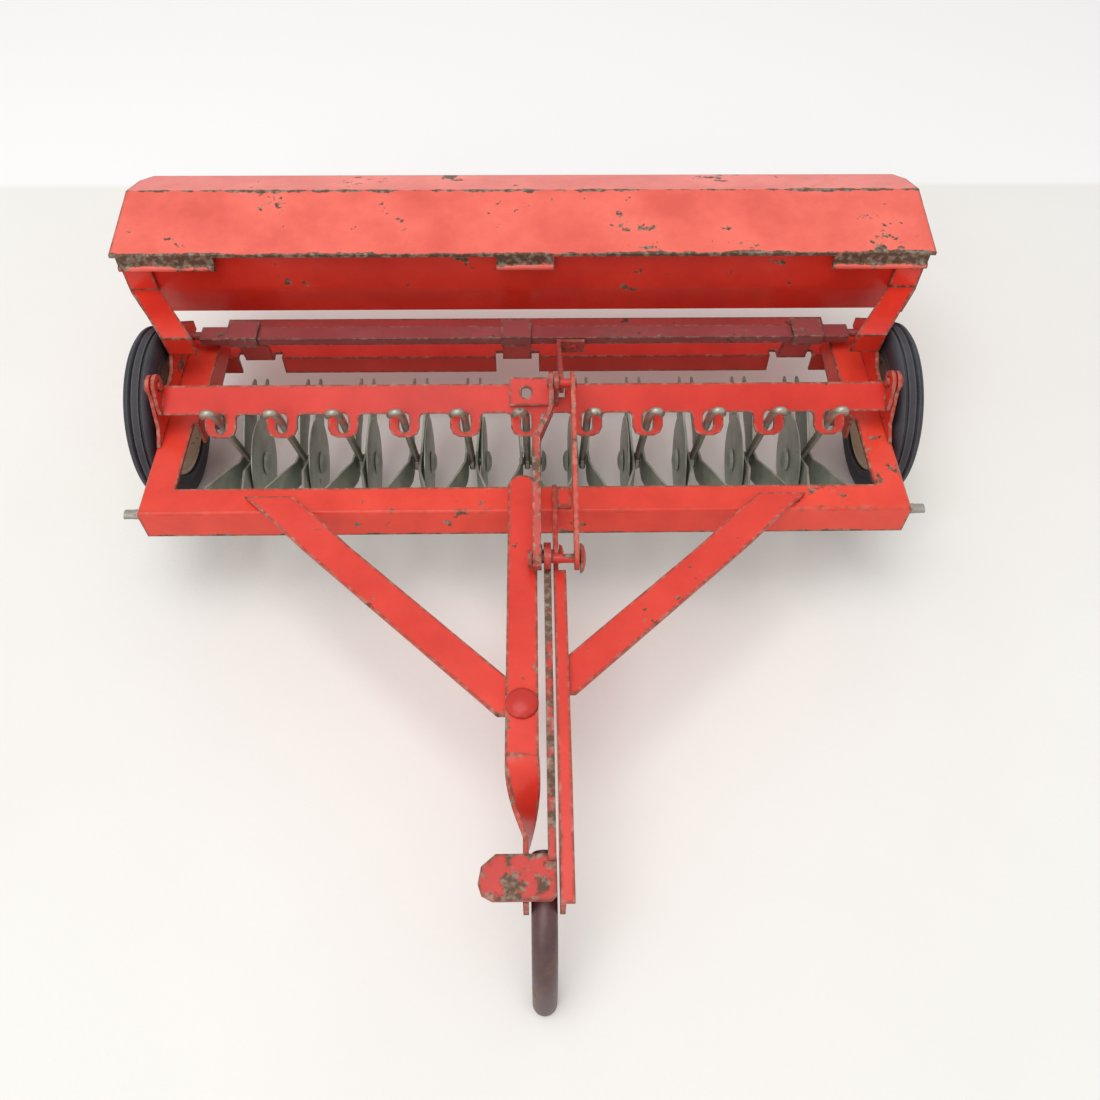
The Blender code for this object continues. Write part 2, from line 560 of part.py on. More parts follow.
def end_plate(name, side):
    """The hopper's end wall, its folded front edge, the ribbon over the tyre, and the web on the frame."""
    def x(a):
        return side * a

    def across(a, b):
        return sorted((side * a, side * b))

    front = HOPPER_FRONT - 0.4
    wall = [(front, HOPPER_TOP - 0.4), (front, HOPPER_KNEE - 1.5), (front + 3.1, HOPPER_BOTTOM + 0.2),
            (45.2, HOPPER_BOTTOM - 2.4), (HOPPER_REAR + 1.0, rear_top - 0.2),
            (HOPPER_REAR + 0.7, rear_top + 0.2),
            (RIDGE_Y, RIDGE_Z - 1.4)]
    web_out = FRAME_HALF - 0.4
    web = [(25.0, CHANNEL_TOP), (25.0, 41.0), (17.0, 47.5), (8.0, 50.5), (4.6, 52.9), (3.0, 52.9),
           (3.6, 46.5),
           (0.0, 43.6), (-4.5, 43.0), (-8.5, 45.0), (-10.4, 48.6)]
    web += arc(BAR_PIVOT_Y, BAR_PIVOT_Z, 3.0, -20.0, 200.0, 14) + [(-20.5, 41.0), (-24.5, CHANNEL_TOP)]
    wide = END_FLANGE
    strip = []
    for outer, low, high in ((HOPPER_HALF, (front + 0.5, 48.9), (front + 0.5, 50.1)),
                             (web_out, (3.5, 52.5), (2.5, 53.6)), (web_out, (4.5, 46.5), (3.5, 46.5))):
        strip.append([(x(outer - wide), *low), (x(outer), *low), (x(outer), *high),
                      (x(outer - wide), *high)])
    parts = [side_plate(wall, *across(HOPPER_HALF - SHEET, HOPPER_HALF)),
             box(*across(HOPPER_HALF - wide, HOPPER_HALF), front, front + SHEET, 49.0, HOPPER_TOP - 0.4),
             ribbon(strip), side_plate(web, *across(web_out - SHEET, web_out)),
             rod((x(BAR_HALF - 1.8), BAR_PIVOT_Y, BAR_PIVOT_Z), (x(web_out + 0.7), BAR_PIVOT_Y, BAR_PIVOT_Z),
                 BAR_PIN_R, 16),
             rod((x(web_out - 0.5), BAR_PIVOT_Y, BAR_PIVOT_Z), (x(web_out + 0.8), BAR_PIVOT_Y, BAR_PIVOT_Z),
                 1.9, 20)]
    return node(name, "red_paint", parts)


end_plate("end_plate_left", -1.0)
end_plate("end_plate_right", 1.0)

lid_front = LID_FRONT_Y - 1.0
hinge_y = lid_front - 0.1
lid_rows = [(lid_front, LID_FRONT_Z + 0.1, LID_HALF), (RIDGE_Y, RIDGE_Z, LID_HALF),
            (65.0, RIDGE_Z + (LID_REAR_Z - RIDGE_Z) * (65.0 - RIDGE_Y) / (LID_REAR_Y - RIDGE_Y), LID_HALF),
            (LID_REAR_Y, LID_REAR_Z, LID_HALF - 2.6)]
lid_parts = [ribbon([[(-half, y, top - SHEET), (half, y, top - SHEET), (half, y, top), (-half, y, top)]
                     for y, top, half in lid_rows])]
hinge_z = LID_FRONT_Z - LID_TAB_DROP + 0.7
for a, b in ((-119.0, -91.0), (-8.5, 8.5), (91.0, 119.0)):
    lid_parts.append(box(a, b, lid_front - 0.1, lid_front + 0.9, hinge_z, LID_FRONT_Z))
    lid_parts.append(rod((a, hinge_y, hinge_z), (b, hinge_y, hinge_z), 1.0, 16))
node("lid", "red_paint", lid_parts, origin=(0.0, hinge_y, hinge_z))


# ---------------------------------------------------------------- wheels
def revolved(profile, sides):
    """A closed (x, radius) outline turned round the axle line."""
    bm = bmesh.new()
    rows = []
    for k in range(sides):
        a = 2.0 * math.pi * k / sides
        rows.append([bm.verts.new((x, r * math.cos(a), AXLE_Z + r * math.sin(a))) for x, r in profile])
    count = len(profile)
    for k in range(sides):
        here, there = rows[k], rows[(k + 1) % sides]
        for i in range(count):
            bm.faces.new((here[i], here[(i + 1) % count], there[(i + 1) % count], there[i]))
    bmesh.ops.recalc_face_normals(bm, faces=bm.faces)
    return bm


def wheel(label, side):
    inside = FRAME_HALF + TYRE_SIDE_GAP
    middle = inside + TYRE_WIDTH / 2.0
    half = TYRE_WIDTH / 2.0
    well = RIM_R + GAP
    tyre = [(-half, well), (half, well), (half, WHEEL_R - 1.9), (half - 0.7, WHEEL_R - 0.3),
            (half - 2.2, WHEEL_R), (half - 3.0, WHEEL_R - 1.0), (3.0 - half, WHEEL_R - 1.0),
            (2.2 - half, WHEEL_R),
            (0.7 - half, WHEEL_R - 0.3), (-half, WHEEL_R - 1.9)]
    hub = AXLE_R + GAP
    rim = [(-half + 0.9, RIM_R), (half - 0.9, RIM_R), (half - 0.9, RIM_R - 1.6), (0.8, RIM_R - 2.4),
           (0.8, 5.2),
           (2.3, 4.4), (2.3, hub), (-2.9, hub), (-2.9, 5.0), (-0.6, 6.2), (-0.6, RIM_R - 2.8),
           (-half + 0.9, RIM_R - 1.6)]
    axle = (0.0, 0.0, AXLE_Z)
    node("tyre_" + label, "rubber", [revolved([(side * (middle + a), r) for a, r in tyre], 56)], origin=axle)
    node("rim_" + label, "cream_paint", [revolved([(side * (middle + a), r) for a, r in rim], 40)],
         origin=axle)
    inner = FRAME_HALF - ARM_WIDTH - REAR_ARM_EXTRA - GAP - GAP
    outer = middle + 2.3 + GAP
    node("axle_stub_" + label, "bare_steel",
         [rod((side * (inner - 1.4), 0.0, AXLE_Z), (side * (outer + 1.0), 0.0, AXLE_Z), AXLE_R, 24),
          rod((side * (inner - 1.5), 0.0, AXLE_Z), (side * inner, 0.0, AXLE_Z), 3.3, 24),
          dome(side * outer, side, 0.0, AXLE_Z, AXLE_HEAD_R, 1.6, 24)], origin=axle)


wheel("left", -1.0)
wheel("right", 1.0)


# ---------------------------------------------------------------- tongue
def strap_between(start, end, half, steps, height):
    """A flat strap in plan; height(y) gives its underside."""
    start, end = Vector(start), Vector(end)
    stations = []
    for k in range(steps + 1):
        point = start.lerp(end, k / steps)
        low = height(point[1])
        stations.append([(point[0] - half, point[1], low), (point[0] + half, point[1], low),
                         (point[0] + half, point[1], low + STRAP), (point[0] - half, point[1], low + STRAP)])
    return ribbon(stations)


def brace_height(y):
    """On the channel at the back, then down under the drawbar."""
    drop = min(max((FRAME_FRONT - 1.5 - y) / 10.0, 0.0), 1.0)
    return CHANNEL_TOP - drop * 1.7


strap_left, strap_right = STRAP_X - STRAP_HALF, STRAP_X + STRAP_HALF
strap_top = CHANNEL_TOP + STRAP
rear_round = [(STRAP_X + STRAP_HALF * math.cos(a), STRAP_REAR - STRAP_HALF * (1.0 - math.sin(a)))
              for a in [math.pi * k / 10 for k in range(11)]]
flat = rear_round + [(strap_left, TWIST_START), (strap_right, TWIST_START)]
twist = []
blade_mid = (STRAP_X + 0.8, FRAME_TOP - 6.4)
for k in range(17):
    t = k / 16.0
    y = TWIST_START + 0.2 + (TWIST_END - TWIST_START) * t
    turn = math.radians(-90.0 * t)
    mid = (STRAP_X + (blade_mid[0] - STRAP_X) * t, CHANNEL_TOP + STRAP / 2.0
           + (blade_mid[1] - CHANNEL_TOP - STRAP / 2.0) * t)
    half = STRAP_HALF + (BLADE_DEPTH / 2.0 - STRAP_HALF) * t
    twist.append([(mid[0] + a * math.cos(turn) - b * math.sin(turn), y, mid[1] + a * math.sin(turn)
                   + b * math.cos(turn)) for a, b in ((-half, -STRAP / 2.0), (half, -STRAP / 2.0),
                                                       (half, STRAP / 2.0), (-half, STRAP / 2.0))])
twist.append([(a, TONGUE_FRONT, c) for a, _, c in twist[-1]])
rivet_hole = rod((STRAP_X, RIVET_Y, 30.0), (STRAP_X, RIVET_Y, 45.0), BAR_PIN_R + GAP, 16)
node("left_drawbar", "red_paint", [flat_plate(flat, CHANNEL_TOP, strap_top), ribbon(twist)], [rivet_hole])

brace_tip = Vector((STRAP_X + 0.6, RIVET_Y - 2.0))
brace_root = Vector((-69.0, FRAME_FRONT + 4.6))
brace_half = 6.4
rivet_hole = rod((STRAP_X, RIVET_Y, 30.0), (STRAP_X, RIVET_Y, 45.0), BAR_PIN_R + GAP, 16)
trim_left = box(strap_right - 0.4, 20.0, -130.0, -60.0, 30.0, 45.0)
trim_front = box(-60.0, 20.0, -130.0, RIVET_Y - 5.2, 30.0, 45.0)
node("left_brace", "red_paint", [strap_between(brace_root, brace_tip, brace_half, 16, brace_height)],
     [rivet_hole, trim_left, trim_front])

leg_in, leg_out = LEG_X - STRAP / 2.0, LEG_X + STRAP / 2.0
brace_root = Vector((69.0, FRAME_FRONT + 4.6))
brace_tip = Vector((leg_out - 3.0, -102.0))
node("right_brace", "red_paint", [strap_between(brace_root, brace_tip, brace_half, 16, brace_height)],
     [box(-10.0, leg_out + GAP, -130.0, -60.0, 30.0, 45.0)])

node("drawbar_rivet", "bare_steel",
     [rod((STRAP_X, RIVET_Y, CHANNEL_TOP - 3.2), (STRAP_X, RIVET_Y, strap_top + GAP + 0.5), BAR_PIN_R, 16),
      rod((STRAP_X, RIVET_Y, strap_top + GAP), (STRAP_X, RIVET_Y, strap_top + GAP + 1.0), 3.9, 24, 3.6),
      rod((STRAP_X, RIVET_Y, strap_top + GAP + 0.9), (STRAP_X, RIVET_Y, strap_top + GAP + 1.7), 3.4, 24,
          1.6),
      rod((STRAP_X, RIVET_Y, CHANNEL_TOP - 3.3), (STRAP_X, RIVET_Y, CHANNEL_TOP - 2.0), 2.4, 20)])

PIVOT = (LEVER_PIVOT_Y, LEVER_PIVOT_Z)
leg_foot = CHANNEL_TOP - 7.7
blade_low, blade_high = blade_mid[1] - BLADE_DEPTH / 2.0, blade_mid[1] + BLADE_DEPTH / 2.0
leg = [(FRAME_FRONT + 6.8, CHANNEL_TOP), (FRAME_FRONT + 6.8, CHANNEL_TOP + 2.6),
       (LEVER_PIVOT_Y + 5.6, strap_top + 1.6)]
leg += arc(*PIVOT, 3.6, 60.0, 150.0, 6)
leg += [(LEVER_PIVOT_Y - 5.0, strap_top), (-124.0, strap_top), (TONGUE_FRONT, blade_high),
        (TONGUE_FRONT, blade_low),
        (TWIST_END, blade_low), (TWIST_START, leg_foot), (FRAME_FRONT - GAP, leg_foot),
        (FRAME_FRONT - GAP, CHANNEL_TOP)]
node("right_drawbar", "red_paint",
     [side_plate(leg, leg_in, leg_out),
      ribbon([[(leg_in, y, top - STRAP), (leg_out + 1.9, y, top - STRAP), (leg_out + 1.9, y, top),
               (leg_in, y, top)]
              for y, top in ((LEVER_PIVOT_Y - 5.6, strap_top), (-124.0, strap_top),
                             (TONGUE_FRONT, blade_high))]),
      box(leg_in, leg_out + 3.8, FRAME_FRONT + 0.4, FRAME_FRONT + 6.8, CHANNEL_TOP, strap_top)],
     [rod((leg_in - 3.0, *PIVOT), (leg_out + 3.0, *PIVOT), BAR_PIN_R + GAP, 20)])

root_z = blade_low + 2.2
hook_path = [(TONGUE_X, TONGUE_FRONT + 12.5, root_z), (TONGUE_X, TONGUE_FRONT + 8.0, root_z),
             (TONGUE_X, TONGUE_FRONT, root_z - 0.4), (TONGUE_X, TONGUE_FRONT - 4.0, root_z - 2.4),
             (TONGUE_X, TONGUE_FRONT - 7.2, root_z - 5.8), (TONGUE_X, TONGUE_FRONT - 9.6, root_z - 10.4),
             (TONGUE_X, TONGUE_FRONT - 11.2, root_z - 15.6), (TONGUE_X, TONGUE_FRONT - 12.2, 6.0),
             (TONGUE_X, HOOK_TIP_Y, -6.0)]
node("hitch_hook", "dark_steel", [swept(hook_path, HOOK_R, 16)],
     [box(-20.0, 20.0, -200.0, -100.0, -20.0, 0.0)])

# ---------------------------------------------------------------- lift lever and links
lever_in, lever_out = LEVER_X - LEVER_THICK / 2.0, LEVER_X + LEVER_THICK / 2.0
lever = arc(*PIVOT, 3.0, -80.0, 80.0, 10) + [(-90.0, FRAME_TOP + 2.2), (TONGUE_FRONT + 8.0, FRAME_TOP + 0.6),
                                               (TONGUE_FRONT + 8.0, FRAME_TOP - 2.2),
                                             (-90.0, FRAME_TOP - 1.8)]
ear = arc(*LINK_FRONT, 2.8, 0.0, 345.0, 23) + arc(*PIVOT, 3.0, 0.0, 345.0, 23)
paddle = [(lever_out, TONGUE_FRONT + PADDLE_DEPTH), (lever_out, TONGUE_FRONT + 1.0),
          (lever_out - 1.2, TONGUE_FRONT),
          (lever_out - PADDLE_WIDTH + 3.0, TONGUE_FRONT),
          (lever_out - PADDLE_WIDTH + 0.8, TONGUE_FRONT + 1.2),
          (lever_out - PADDLE_WIDTH, TONGUE_FRONT + 3.4),
          (lever_out - PADDLE_WIDTH + 0.6, TONGUE_FRONT + 7.0),
          (lever_out - PADDLE_WIDTH + 3.6, TONGUE_FRONT + PADDLE_DEPTH)]
head_in = CENTRE_LINK_X - 1.05 - GAP
node("lift_lever", "red_paint",
     [side_plate(lever, lever_in, lever_out), hull([(x, *p) for x in (lever_in, lever_out) for p in ear]),
      flat_plate(paddle, FRAME_TOP - 1.2, FRAME_TOP),
      rod((head_in - 0.9, *LINK_FRONT), (LINK_X + 2.0, *LINK_FRONT), BAR_PIN_R, 16),
      rod((head_in - 1.0, *LINK_FRONT), (head_in, *LINK_FRONT), 2.2, 20),
      dome(LINK_X + 0.6 + GAP, 1.0, *LINK_FRONT, 4.0, 1.3)],
     [rod((lever_in - 2.0, *PIVOT), (lever_out + 2.0, *PIVOT), BAR_PIN_R + GAP, 20)], (LEVER_X, *PIVOT))
node("lever_pivot", "bare_steel",
     [rod((lever_in - GAP - 0.7, *PIVOT), (leg_out + GAP + 0.9, *PIVOT), BAR_PIN_R, 16),
      rod((lever_in - GAP - 0.8, *PIVOT), (lever_in - GAP, *PIVOT), 2.5, 20),
      dome(leg_out + GAP, 1.0, *PIVOT, 2.6, 1.1)])


def link_hole(x, point):
    return rod((x - 3.0, *point), (x + 3.0, *point), BAR_PIN_R + GAP, 20)


link_ends = arc(*LINK_FRONT, 3.0, 0.0, 345.0, 23) + arc(*LINK_REAR, 3.0, 0.0, 345.0, 23)
node("long_link", "red_paint", [hull([(x, *p) for x in (LINK_X - 0.6, LINK_X + 0.6) for p in link_ends])],
     [link_hole(LINK_X, LINK_FRONT), link_hole(LINK_X, LINK_REAR)], (LINK_X, *LINK_FRONT))


def along_link(t, x0, x1, half):
    """A section of the centre link, t of the way from its front pin to its rear one."""
    start, end = Vector(LINK_FRONT), Vector(LINK_REAR)
    run = (end - start).normalized()
    across = Vector((-run[1], run[0])) * half
    mid = start + run * t
    low, high = mid - across, mid + across
    return [(x0, *low), (x1, *low), (x1, *high), (x0, *high)]


link_length = (Vector(LINK_REAR) - Vector(LINK_FRONT)).length
bar_in, bar_out = CENTRE_LINK_X - 1.05, CENTRE_LINK_X + 1.05
ear_in, ear_out = EAR_IN - GAP - STRAP, EAR_IN - GAP
centre = ribbon([along_link(-2.6, bar_in, bar_out, 1.6), along_link(-1.6, bar_in, bar_out, 2.4),
                 along_link(link_length - 17.0, bar_in, bar_out, 2.4),
                 along_link(link_length - 8.0, ear_in, ear_out, 2.4),
                 along_link(link_length + 1.4, ear_in, ear_out, 2.6),
                 along_link(link_length + 2.8, ear_in, ear_out, 1.4)])
node("centre_link", "red_paint", [centre],
     [link_hole(CENTRE_LINK_X, LINK_FRONT), link_hole(EAR_IN - 1.0, LINK_REAR)],
     (CENTRE_LINK_X, *LINK_FRONT))
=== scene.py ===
"""Looks of the pressed-steel toy grain drill: painted sheet, bare wire and discs, rubber tyres."""

import math

import bmesh
import bpy
from mathutils import Matrix, Vector


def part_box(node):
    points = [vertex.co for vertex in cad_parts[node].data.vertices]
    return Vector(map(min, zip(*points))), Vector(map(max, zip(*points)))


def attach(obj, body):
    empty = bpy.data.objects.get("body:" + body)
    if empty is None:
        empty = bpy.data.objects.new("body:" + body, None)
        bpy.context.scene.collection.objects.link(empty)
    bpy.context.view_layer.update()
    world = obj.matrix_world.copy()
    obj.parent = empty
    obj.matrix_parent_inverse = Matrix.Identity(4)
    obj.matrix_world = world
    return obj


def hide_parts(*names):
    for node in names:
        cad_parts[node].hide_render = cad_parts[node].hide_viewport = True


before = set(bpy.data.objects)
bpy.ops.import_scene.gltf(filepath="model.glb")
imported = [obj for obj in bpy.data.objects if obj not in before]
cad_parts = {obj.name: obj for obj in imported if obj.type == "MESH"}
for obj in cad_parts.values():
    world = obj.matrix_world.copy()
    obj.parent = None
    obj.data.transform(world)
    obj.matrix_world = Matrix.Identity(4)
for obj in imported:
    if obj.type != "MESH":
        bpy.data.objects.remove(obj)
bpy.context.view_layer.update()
bpy.ops.object.select_all(action="DESELECT")

# ---------------------------------------------------------------- main frame
# One U-shaped pressing of one-millimetre sheet with its edges folded down, painted bright red.
# Paint is rubbed through to brown steel on the folds, and the folds themselves are softly rounded.
MM = 0.001
back = 0.047                       # the axle line lies this far behind the middle of the drill
frame_top = 0.0374
frame_front = -0.0478 + back
frame_half = 0.1036


class Value:
    """A shader value that Python arithmetic works on; each operation adds its Math node."""

    def __init__(self, finish, socket):
        self.finish, self.socket = finish, socket

    def _with(self, operation, *values):
        return self.finish.node("ShaderNodeMath", {"operation": operation}, *values)

    def __add__(self, other):
        return self._with("ADD", self, other)

    def __sub__(self, other):
        return self._with("SUBTRACT", self, other)

    def __rsub__(self, other):
        return self._with("SUBTRACT", other, self)

    def __mul__(self, other):
        return self._with("MULTIPLY", self, other)

    def most(self, other):
        return self._with("MAXIMUM", self, other)

    def clamped(self):
        return self.finish.node("ShaderNodeMath", {"operation": "ADD", "use_clamp": True}, self, 0.0)

    __radd__ = __add__
    __rmul__ = __mul__


class Finish:
    """One material, built node by node."""

    def __init__(self, name):
        self.material = bpy.data.materials.new(name)
        self.material.use_nodes = True
        self.tree = self.material.node_tree
        self.shader = self.tree.nodes["Principled BSDF"]
        self.place = self.node("ShaderNodeTexCoord", {}, out="Object")

    def node(self, kind, settings, *values, out=0, **named):
        made = self.tree.nodes.new(kind)
        for key, setting in settings.items():
            setattr(made, key, setting)
        pairs = list(zip(made.inputs, values))
        pairs += [(made.inputs[key.replace("_", " ")], value) for key, value in named.items()]
        for socket, value in pairs:
            if isinstance(value, Value):
                self.tree.links.new(value.socket, socket)
            elif value is not None:
                socket.default_value = value
        return Value(self, made.outputs[out])

    def noise(self, scale, detail=3.0, rough=0.55):
        return self.node("ShaderNodeTexNoise", {}, Vector=self.place, Scale=scale, Detail=detail,
                         Roughness=rough)

    def mix(self, factor, first, second):
        made = self.tree.nodes.new("ShaderNodeMix")
        made.data_type = "RGBA"
        for socket, value in ((made.inputs[0], factor), (made.inputs[6], first), (made.inputs[7], second)):
            if isinstance(value, Value):
                self.tree.links.new(value.socket, socket)
            else:
                socket.default_value = value
        return Value(self, made.outputs[2])

    def edge(self, radius):
        """0 on flat sheet, rising towards 1 beside a fold or cut edge."""
        rounded = self.node("ShaderNodeBevel", {"samples": 6}, Radius=radius)
        true = self.node("ShaderNodeNewGeometry", {}, out="Normal")
        along = self.node("ShaderNodeVectorMath", {"operation": "DOT_PRODUCT"}, rounded, true, out="Value")
        return 1.0 - along

    def facing_up(self):
        """Height of the surface's direction: 1 on top faces, 0 on upright ones."""
        true = self.node("ShaderNodeNewGeometry", {}, out="Normal")
        return self.node("ShaderNodeSeparateXYZ", {}, true, out="Z")

    def set(self, socket, value):
        if isinstance(value, Value):
            self.tree.links.new(value.socket, self.shader.inputs[socket])
        else:
            self.shader.inputs[socket].default_value = value

    def bump(self, height, distance, strength=1.0):
        bumped = self.node("ShaderNodeBump", {}, Height=height, Distance=distance, Strength=strength,
                           out="Normal")
        self.set("Normal", bumped)


def red_paint(name, wear=0.5, chips=0.3, red=(0.82, 0.050, 0.027), dull=0.0, top_wear=0.0, seed=0.0, lines=(),
              tint_and_shade_above=None):
    """Old enamel: wear rubs it off the edges, chips are spots in the open sheet, dull adds a film of dirt.

    lines are folds that are worn all along: (axis, place in metres, half width in metres, amount).
    The last argument gives (height in metres, colour): above that height the paint takes that darker colour,
    partly painted shade.
    """
    paint = Finish(name)
    folded = [(paint.node("ShaderNodeSeparateXYZ", {}, paint.place, out=axis), at, width, amount)
              for axis, at, width, amount in lines]
    height = paint.node("ShaderNodeSeparateXYZ", {}, paint.place, out="Z")
    paint.place = paint.node("ShaderNodeMapping", {}, Vector=paint.place, Location=(seed, seed * 0.7, 0.0),
                             out="Vector")
    broad = paint.noise(42.0, 5.0, 0.62)
    middle = paint.noise(230.0, 4.0, 0.65)
    fine = paint.noise(1500.0, 2.0)
    edge = paint.edge(0.0016) * 10.0
    for coordinate, at, width, amount in folded:
        offset = paint.node("ShaderNodeMath", {"operation": "ABSOLUTE"}, coordinate - at)
        edge = edge.most((1.0 - offset * (1.0 / width)).clamped() * amount)
    rubbed = ((edge + (middle - 0.5) * 2.4 + (broad - 0.5) * 3.0 - (1.62 - wear)) * 6.0).clamped()
    spots = ((middle + (broad - 0.5) * 0.9 - (0.80 - chips * 0.20)) * 26.0).clamped()
    bare = rubbed.most(spots)
    if top_wear:
        uneven = (middle - 0.5) * 1.6 + (broad - 0.5) * 1.2
        bare = bare.most(((paint.facing_up() * 0.75 + uneven - (1.15 - top_wear)) * 7.0).clamped())
    deep = tuple(c * 0.80 for c in red)
    pale = (min(red[0] * 1.06, 1.0), red[1] * 1.5, red[2] * 1.5)
    coat = paint.mix(((broad - 0.32) * 2.4).clamped(), (*deep, 1.0), (*pale, 1.0))
    smear = ((paint.noise(90.0, 6.0, 0.7) - 0.56) * (2.0 + 6.0 * dull)).clamped() * (0.25 + 0.6 * dull)
    coat = paint.mix(smear, coat, (0.16, 0.055, 0.045, 1.0))
    # Above the given height the paint turns to a darker colour, partly painted shade.
    if tint_and_shade_above:
        coat = paint.mix(((height - tint_and_shade_above[0]) * 2500.0).clamped(), coat, (*tint_and_shade_above[1], 1.0))
    steel = paint.mix(((paint.noise(600.0, 4.0) - 0.45) * 4.0).clamped(), (0.120, 0.066, 0.042, 1.0),
                      (0.34, 0.27, 0.21, 1.0))
    paint.set("Base Color", paint.mix(bare, coat, steel))
    paint.shader.inputs["Specular IOR Level"].default_value = 0.30
    paint.set("Roughness", 0.34 + dull * 0.15 + bare * 0.28 + (middle - 0.5) * 0.18 + smear * 0.3)
    paint.set("Metallic", bare * 0.35)
    paint.set("Coat Weight", (1.0 - bare) * (0.09 - 0.07 * dull))
    paint.shader.inputs["Coat Roughness"].default_value = 0.12
    paint.bump(fine * 0.12 + broad * 0.5 - bare * 1.0 + bare * fine * 0.5, 0.00012, 0.55)
    return paint.material


def give(piece, material):
    """The piece takes this material all over."""
    piece.data.materials.clear()
    piece.data.materials.append(material)


def own_mesh(name, fold=0.15, segments=2, angle=30.0, folds=(), smooth=38.0):
    """A merged copy of a CAD node's mesh with its edges rounded, which then stands for the node.

    folds lists (test, width in mm, segments): edges whose two ends pass test get their own wider rounding.
    """
    piece = bpy.data.objects.new(name + "_piece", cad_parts[name].data.copy())
    bpy.context.scene.collection.objects.link(piece)
    bpy.ops.object.select_all(action="DESELECT")
    piece.select_set(True)
    bpy.context.view_layer.objects.active = piece
    bpy.ops.object.mode_set(mode="EDIT")
    bpy.ops.mesh.select_all(action="SELECT")
    bpy.ops.mesh.remove_doubles(threshold=0.000005)
    bpy.ops.mesh.dissolve_limited(angle_limit=math.radians(0.6))
    for test, width, steps in folds:
        bpy.ops.mesh.select_mode(type="EDGE")
        bpy.ops.mesh.select_all(action="DESELECT")
        shape = bmesh.from_edit_mesh(piece.data)
        for line in shape.edges:
            line.select_set(all(test(vert.co) for vert in line.verts) and line.calc_face_angle(0.0) > 0.25)
        bmesh.update_edit_mesh(piece.data)
        bpy.ops.mesh.bevel(offset=width * MM, segments=steps, affect="EDGES")
    bpy.ops.object.mode_set(mode="OBJECT")
    rounding = piece.modifiers.new("rounding", "BEVEL")
    rounding.width = fold * MM
    rounding.segments = segments
    rounding.limit_method = "ANGLE"
    rounding.angle_limit = math.radians(angle)
    rounding.use_clamp_overlap = True
    bpy.ops.object.modifier_apply(modifier="rounding")
    bpy.ops.object.shade_smooth_by_angle(angle=math.radians(smooth))
    flat = piece.modifiers.new("flat faces", "WEIGHTED_NORMAL")
    flat.keep_sharp = True
    flat.weight = 90
    bpy.ops.object.modifier_apply(modifier="flat faces")
    piece.select_set(False)
    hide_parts(name)
    return piece


def near(value, target, slack=0.00003):
    return abs(value - target) < slack


frame_foot = frame_top - 0.0099
frame_red = red_paint("frame red", wear=1.12, chips=0.62, lines=[("Z", frame_foot, 0.0014, 0.8)])
main_frame = own_mesh("main_frame", 0.12, folds=[
    (lambda p: near(p.z, frame_top) and (near(p.y, frame_front) or near(abs(p.x), frame_half)), 0.85, 4)])
give(main_frame, frame_red)
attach(main_frame, "frame")

# ---------------------------------------------------------------- opener pivot rod
# A plain steel rod through both sides of the frame.
# Its ends are hammered a little flat so it can't slide out.
rod_y, rod_z, rod_half, rod_r = -0.0432 + back, 0.0315, 0.1096, 0.0015


def bare_metal(name, base=(0.30, 0.28, 0.245), stain=(0.11, 0.075, 0.05), staining=0.5, rough=0.42,
               metallic=0.75):
    """Steel that was never painted, clouded and spotted with old rust."""
    metal = Finish(name)
    cloud = metal.noise(120.0, 5.0, 0.62)
    fine = metal.noise(1300.0, 3.0)
    rust = ((metal.noise(330.0, 4.0, 0.7) + (cloud - 0.5) * 0.9 - (0.78 - staining * 0.3)) * 7.0).clamped()
    clean = metal.mix(((cloud - 0.3) * 2.4).clamped(), (*[c * 0.72 for c in base], 1.0),
                      (*[min(c * 1.3, 1.0) for c in base], 1.0))
    metal.set("Base Color", metal.mix(rust, clean, (*stain, 1.0)))
    metal.set("Roughness", rough + rust * 0.3 + (fine - 0.5) * 0.15)
    metal.set("Metallic", metallic - rust * metallic * 0.8)
    metal.bump(fine * 0.5 + rust * 0.7, 0.00006, 0.5)
    return metal.material


steel = bare_metal("bare steel")
bpy.ops.mesh.primitive_cylinder_add(vertices=28, radius=rod_r, depth=2 * rod_half,
                                    location=(0.0, rod_y, rod_z), rotation=(0.0, math.pi / 2.0, 0.0))
rod = bpy.context.active_object
rod.name = "opener_pivot_rod_piece"


def settle(piece):
    """Moves a piece's place into its mesh, so that the object sits at the origin, and smooths it by angle."""
    bpy.ops.object.select_all(action="DESELECT")
    piece.select_set(True)
    bpy.context.view_layer.objects.active = piece
    bpy.ops.object.transform_apply(location=True, rotation=True, scale=True)
    bpy.ops.object.shade_smooth_by_angle(angle=math.radians(38.0))
    piece.select_set(False)


settle(rod)
rod.select_set(True)
bpy.ops.object.mode_set(mode="EDIT")
for cut in (-rod_half + 0.0042, -rod_half + 0.0022, rod_half - 0.0022, rod_half - 0.0042):
    bpy.ops.mesh.select_all(action="SELECT")
    bpy.ops.mesh.bisect(plane_co=(cut, 0.0, 0.0), plane_no=(1.0, 0.0, 0.0))
bpy.ops.mesh.select_all(action="DESELECT")
shape = bmesh.from_edit_mesh(rod.data)
for vert in shape.verts:
    vert.select_set(abs(vert.co.x) > rod_half - 0.0024)
shape.select_flush(True)
bmesh.update_edit_mesh(rod.data)
bpy.ops.transform.resize(value=(1.0, 1.0, 0.62), center_override=(0.0, rod_y, rod_z))
bpy.ops.object.mode_set(mode="OBJECT")
give(rod, steel)
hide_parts("opener_pivot_rod")
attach(rod, "frame")

